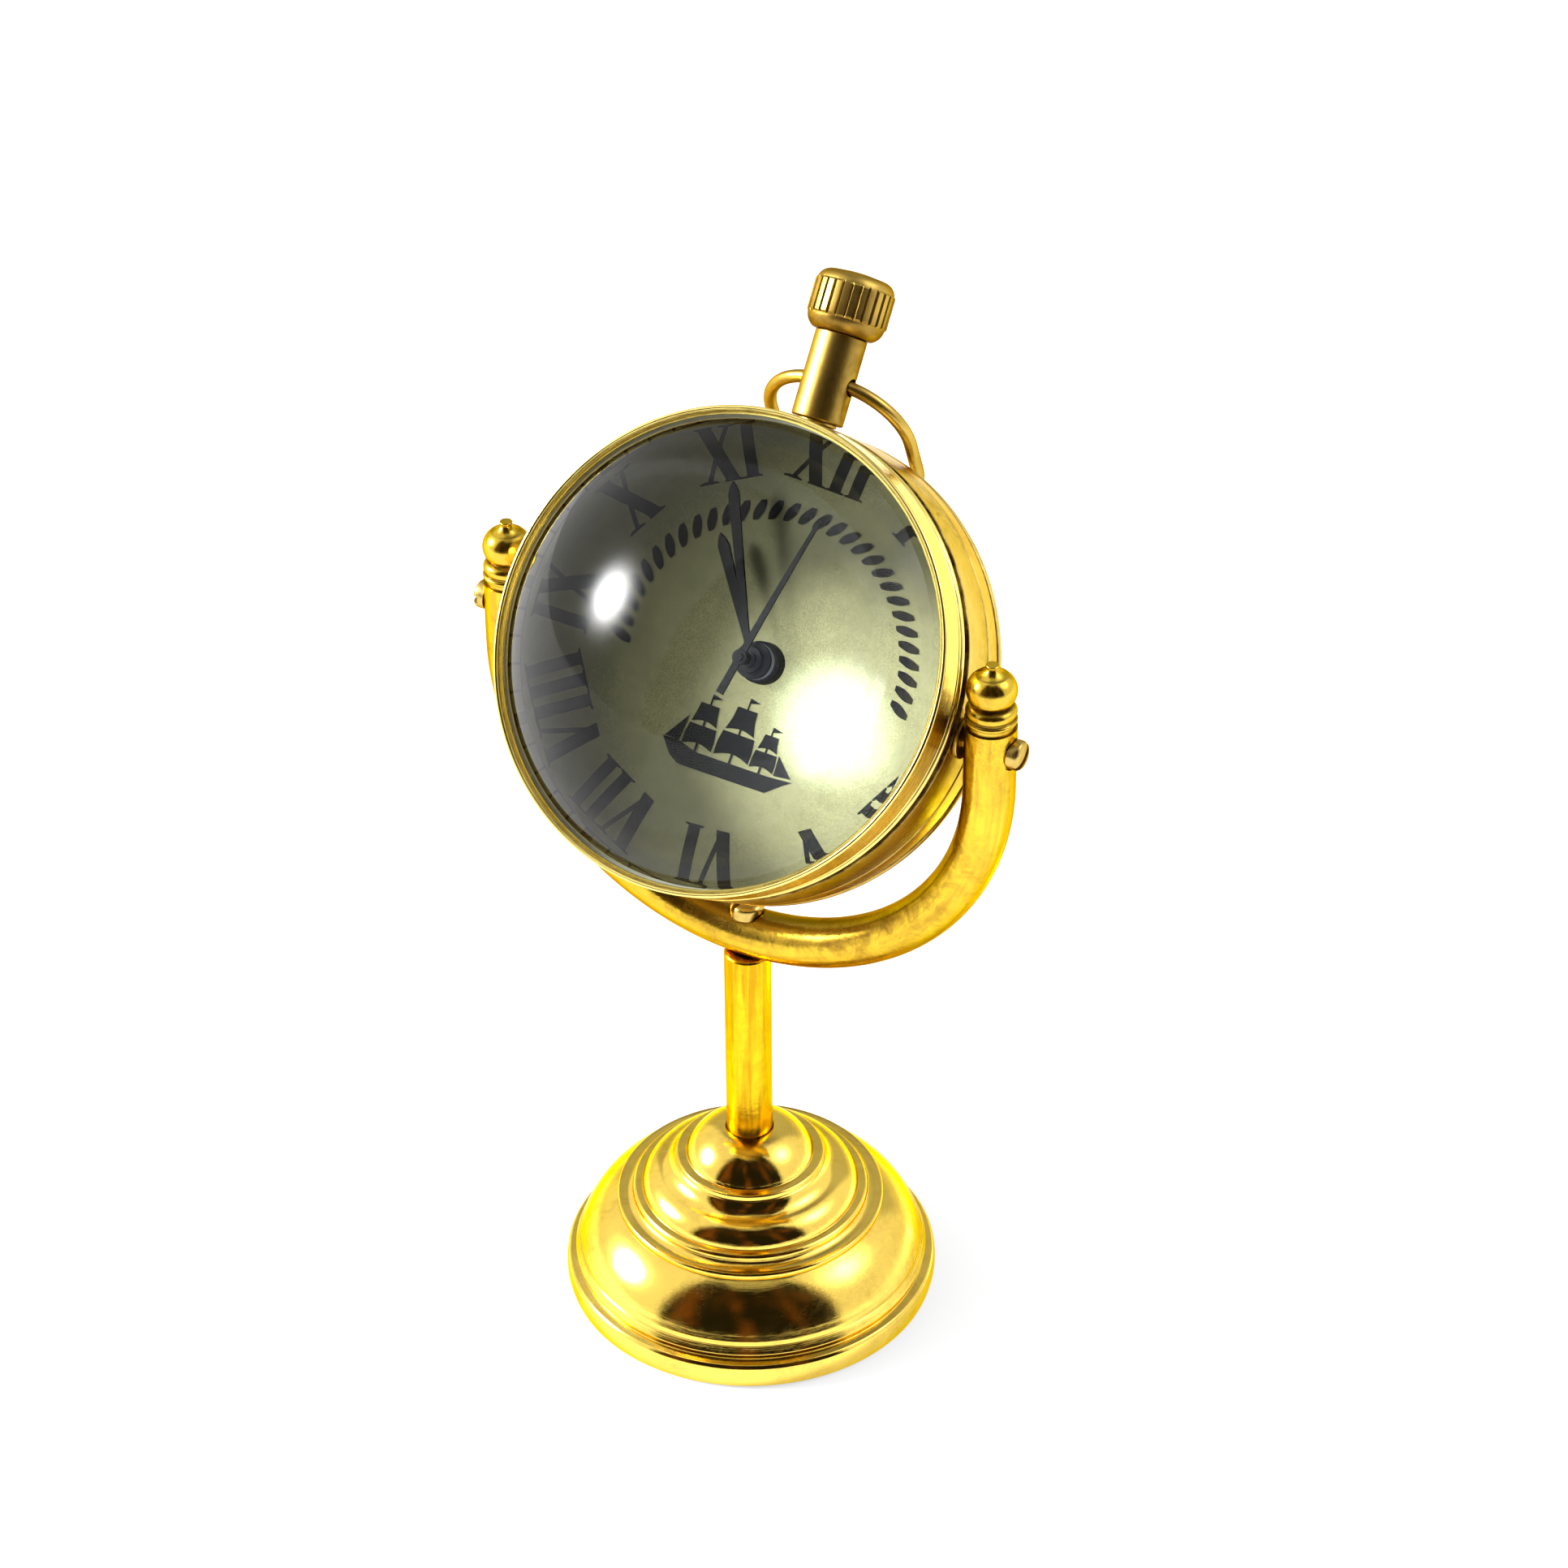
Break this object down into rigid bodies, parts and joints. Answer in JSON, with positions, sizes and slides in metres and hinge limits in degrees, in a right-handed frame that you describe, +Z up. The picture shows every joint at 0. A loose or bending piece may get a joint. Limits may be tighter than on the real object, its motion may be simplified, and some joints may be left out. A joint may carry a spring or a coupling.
{
  "type": "desk clock",
  "caption": "Brass desk clock: round case with a thick domed glass, crown and bow, tilting in a U-yoke on a post and stepped round base.",
  "frame": {"origin": "centre of the underside of the round base, on the post's axis", "axes": "+Z up along the post, +X along the pivot axis to the clock's right as seen from the front, -Y the side the dial faces"},
  "size_m": [0.0978, 0.0734, 0.1767],
  "materials": {
    "brass_polished": "polished and lacquered, lightly tarnished",
    "brass_satin": "satin, dulled by handling",
    "brass_screw": "turned, tarnished in the slots",
    "glass": "clear, polished",
    "dial_paper": "matt, aged, printed in black",
    "hand_black": "matt black paint",
    "felt": "black felt",
    "steel": "plain",
    "plate_aluminium": "plain",
    "rubber_black": "matt",
    "plastic_black": "moulded",
    "board_green": "solder mask",
    "coil_copper": "enamelled wire"
  },
  "bodies": {
    "stand": {"base": "brass_polished", "felt_pad": "felt", "base_bolt": "steel", "base_washer": "steel", "post": "brass_polished", "yoke": "brass_polished", "yoke_screw": "brass_screw", "finial_left": "brass_polished", "finial_right": "brass_polished"},
    "case": {"case_drum": "brass_polished", "front_bezel": "brass_polished", "lens": "glass", "lens_gasket": "rubber_black", "dial_paper": "dial_paper", "dial_plate": "plate_aluminium", "retaining_ring": "plastic_black", "movement_housing": "plastic_black", "movement_lid": "plastic_black", "circuit_board": "board_green", "coil": "coil_copper", "coil_core": "steel", "battery": "steel", "battery_clip": "steel", "movement_nut": "brass_screw", "stem": "brass_satin", "stem_washer": "brass_satin", "stem_screw": "brass_screw", "pivot_screws": "brass_screw", "pivot_washers": "brass_satin"},
    "hour": {"hour_hand": "hand_black", "hour_pipe": "steel"},
    "minute": {"minute_hand": "hand_black", "minute_arbor": "steel"},
    "second": {"second_hand": "hand_black", "second_arbor": "steel"},
    "knob": {"set_knob": "plastic_black"},
    "crown": {"crown": "brass_satin"},
    "bow": {"bow": "brass_satin"},
    "back": {"back_cover": "brass_polished", "back_gasket": "rubber_black"}
  },
  "joints": [
    {"name": "case_tilt", "type": "hinge", "parent": "stand", "child": "case", "pos_m": [0, 0, 0.122], "axis": [1, 0, 0], "range_deg": [-95, 165]},
    {"name": "minute_turn", "type": "hinge", "parent": "case", "child": "minute", "pos_m": [0, 0.00125, 0.12369], "axis": [0, -0.8049, 0.5934], "continuous": true},
    {"name": "second_turn", "type": "hinge", "parent": "case", "child": "second", "pos_m": [0, 0.00125, 0.12369], "axis": [0, -0.8049, 0.5934], "continuous": true},
    {"name": "hour_turn", "type": "hinge", "parent": "case", "child": "hour", "pos_m": [0, 0.00125, 0.12369], "axis": [0, -0.8049, 0.5934], "continuous": true},
    {"name": "knob_turn", "type": "hinge", "parent": "case", "child": "knob", "pos_m": [0.0084, -0.00291, 0.11806], "axis": [0, -0.8049, 0.5934], "continuous": true},
    {"name": "crown_turn", "type": "hinge", "parent": "case", "child": "crown", "pos_m": [0, 0.00084, 0.12399], "axis": [0, 0.5934, 0.8049], "continuous": true},
    {"name": "bow_swing", "type": "hinge", "parent": "case", "child": "bow", "pos_m": [0, 0.02743, 0.16005], "axis": [1, 0, 0], "range_deg": [0, 236]},
    {"name": "back_cover_turn", "type": "hinge", "parent": "case", "child": "back", "pos_m": [0, 0.00125, 0.12369], "axis": [0, -0.8049, 0.5934], "continuous": true}
  ],
  "couplings": [
    {"joint": "hour_turn", "follows": "minute_turn", "ratio": 0.083333},
    {"joint": "second_turn", "follows": "minute_turn", "ratio": 60},
    {"joint": "knob_turn", "follows": "minute_turn", "ratio": -3}
  ]
}
